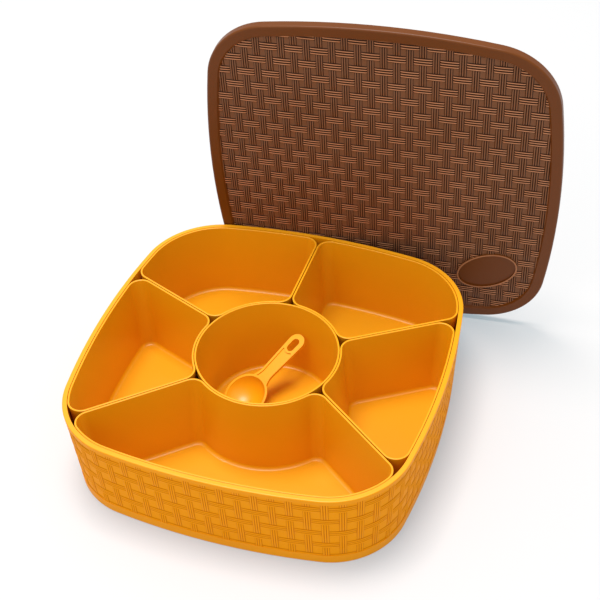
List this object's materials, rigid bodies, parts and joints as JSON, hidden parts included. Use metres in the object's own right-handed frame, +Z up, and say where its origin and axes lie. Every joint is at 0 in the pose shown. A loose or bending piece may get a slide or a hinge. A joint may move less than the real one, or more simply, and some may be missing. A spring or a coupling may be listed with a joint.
{
  "type": "divided snack tray",
  "caption": "Square snack tray with bulging sides, a round middle cup among wedge cups, all lift-out, a small spoon in the middle cup and a loose lid standing behind it.",
  "frame": {"origin": "middle of the foot of the tray, on the ground", "axes": "+X to the right, +Y to the back where the lid stands, +Z up; the tray lies level on the ground"},
  "size_m": [0.3315, 0.3012, 0.2838],
  "materials": {
    "amber_tray": "glossy moulded amber plastic with a woven relief on the outer wall",
    "amber_cup": "glossy smooth moulded amber plastic",
    "amber_spoon": "glossy smooth moulded amber plastic",
    "brown_lid": "satin moulded dark brown plastic with a woven relief on the panel"
  },
  "bodies": {
    "tray": {"base_tray": "amber_tray"},
    "back_left_cup_body": {"back_left_cup": "amber_cup"},
    "back_right_cup_body": {"back_right_cup": "amber_cup"},
    "right_cup_body": {"right_cup": "amber_cup"},
    "front_cup_body": {"front_cup": "amber_cup"},
    "left_cup_body": {"left_cup": "amber_cup"},
    "centre_cup_body": {"centre_cup": "amber_cup"},
    "spoon_body": {"spoon": "amber_spoon"},
    "lid_body": {"lid": "brown_lid"}
  },
  "joints": [
    {"name": "back_left_cup_lift", "type": "slide", "parent": "tray", "child": "back_left_cup_body", "axis": [0, 0, 1], "range_m": [0, 0.068]},
    {"name": "back_right_cup_lift", "type": "slide", "parent": "tray", "child": "back_right_cup_body", "axis": [0, 0, 1], "range_m": [0, 0.068]},
    {"name": "right_cup_lift", "type": "slide", "parent": "tray", "child": "right_cup_body", "axis": [0, 0, 1], "range_m": [0, 0.068]},
    {"name": "front_cup_lift", "type": "slide", "parent": "tray", "child": "front_cup_body", "axis": [0, 0, 1], "range_m": [0, 0.068]},
    {"name": "left_cup_lift", "type": "slide", "parent": "tray", "child": "left_cup_body", "axis": [0, 0, 1], "range_m": [0, 0.068]},
    {"name": "centre_cup_lift", "type": "slide", "parent": "tray", "child": "centre_cup_body", "axis": [0, 0, 1], "range_m": [0, 0.068]},
    {"name": "spoon_lift", "type": "slide", "parent": "centre_cup_body", "child": "spoon_body", "axis": [0, 0, 1], "range_m": [0, 0.07]},
    {"name": "lid_lift", "type": "slide", "parent": "tray", "child": "lid_body", "axis": [0, 0, 1], "range_m": [0, 0.1]}
  ]
}
